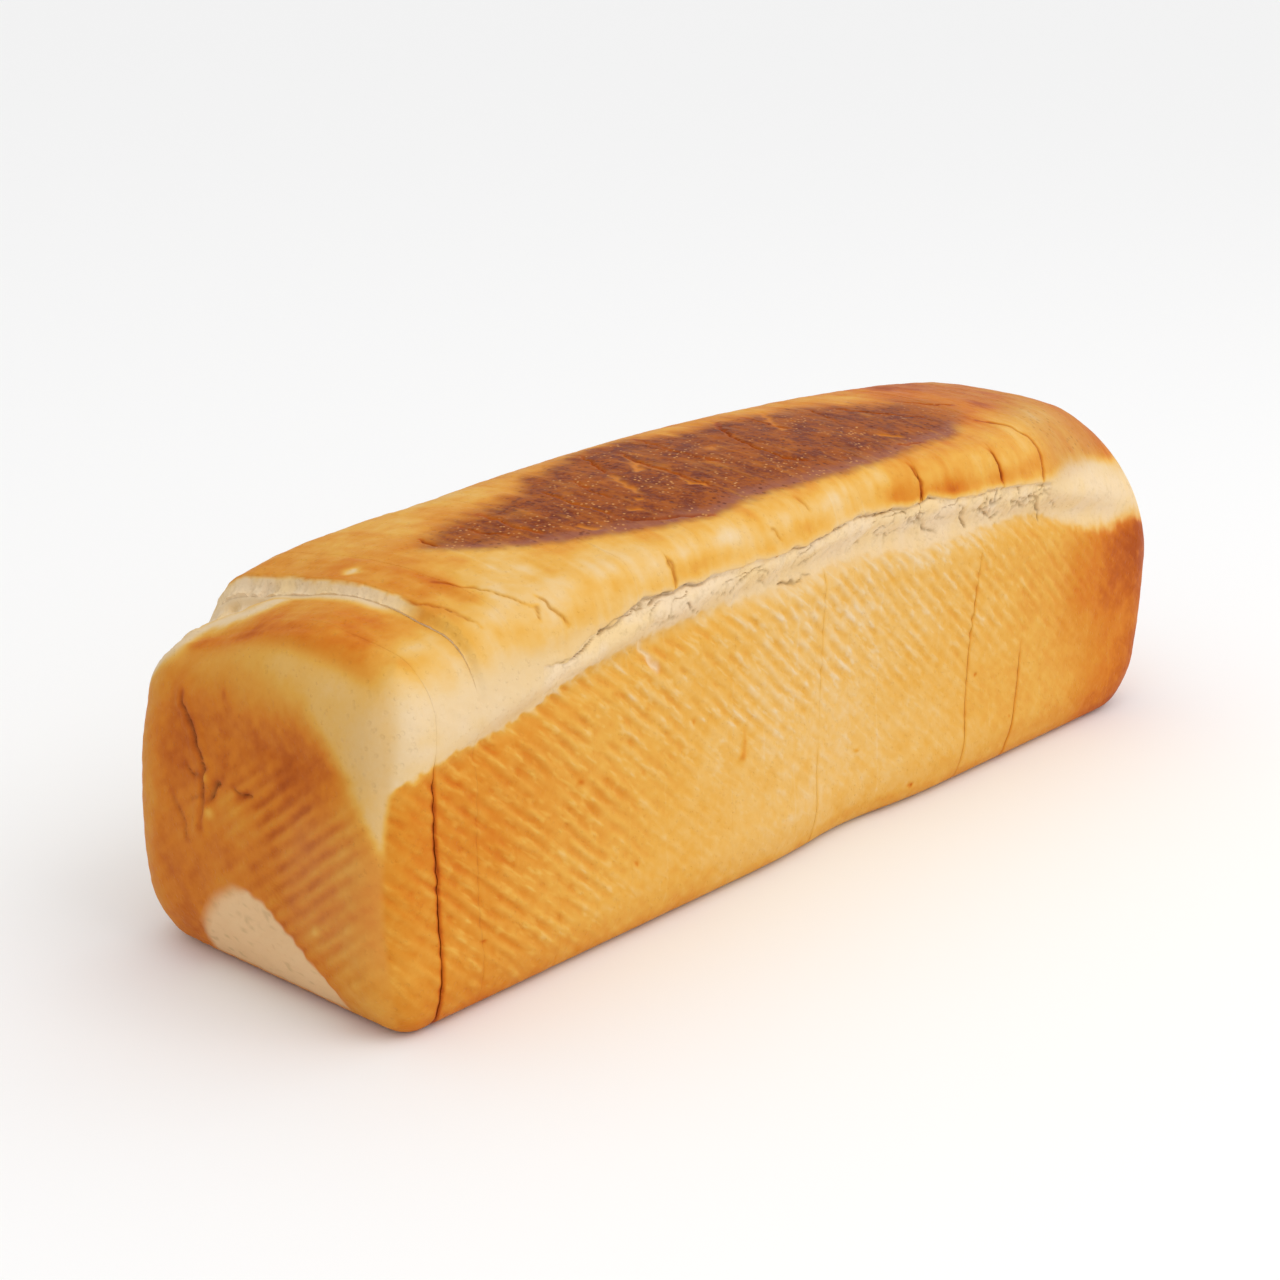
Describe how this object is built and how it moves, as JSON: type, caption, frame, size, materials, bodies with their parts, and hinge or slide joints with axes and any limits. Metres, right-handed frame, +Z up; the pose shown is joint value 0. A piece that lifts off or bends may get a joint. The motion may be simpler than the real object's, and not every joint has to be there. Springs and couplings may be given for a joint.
{
  "type": "sliced tin loaf",
  "caption": "Long sliced tin loaf standing whole on its base: domed brown top, pale torn crease along the long sides, and ribbed golden walls.",
  "frame": {"origin": "middle of the loaf's base, on the surface that it stands on", "axes": "+X along the row of slices from the near heel to the far heel, +Z up, -Y out of the front long wall"},
  "size_m": [0.332, 0.101, 0.1054],
  "materials": {
    "end_crust": "baked bread crust, brown, satin; stands for food, not plastic",
    "slice_crust": "baked bread crust, golden, satin, with a dark brown top; stands for food, not plastic"
  },
  "bodies": {
    "root": {"near_heel": "end_crust", "slice_01": "slice_crust", "slice_02": "slice_crust", "slice_03": "slice_crust", "slice_04": "slice_crust", "slice_05": "slice_crust", "slice_06": "slice_crust", "slice_07": "slice_crust", "slice_08": "slice_crust", "slice_09": "slice_crust", "slice_10": "slice_crust", "slice_11": "slice_crust", "slice_12": "slice_crust", "slice_13": "slice_crust", "slice_14": "slice_crust", "slice_15": "slice_crust", "slice_16": "slice_crust", "slice_17": "slice_crust", "slice_18": "slice_crust", "slice_19": "slice_crust", "slice_20": "slice_crust", "slice_21": "slice_crust", "slice_22": "slice_crust", "slice_23": "slice_crust", "far_heel": "end_crust"}
  },
  "joints": []
}
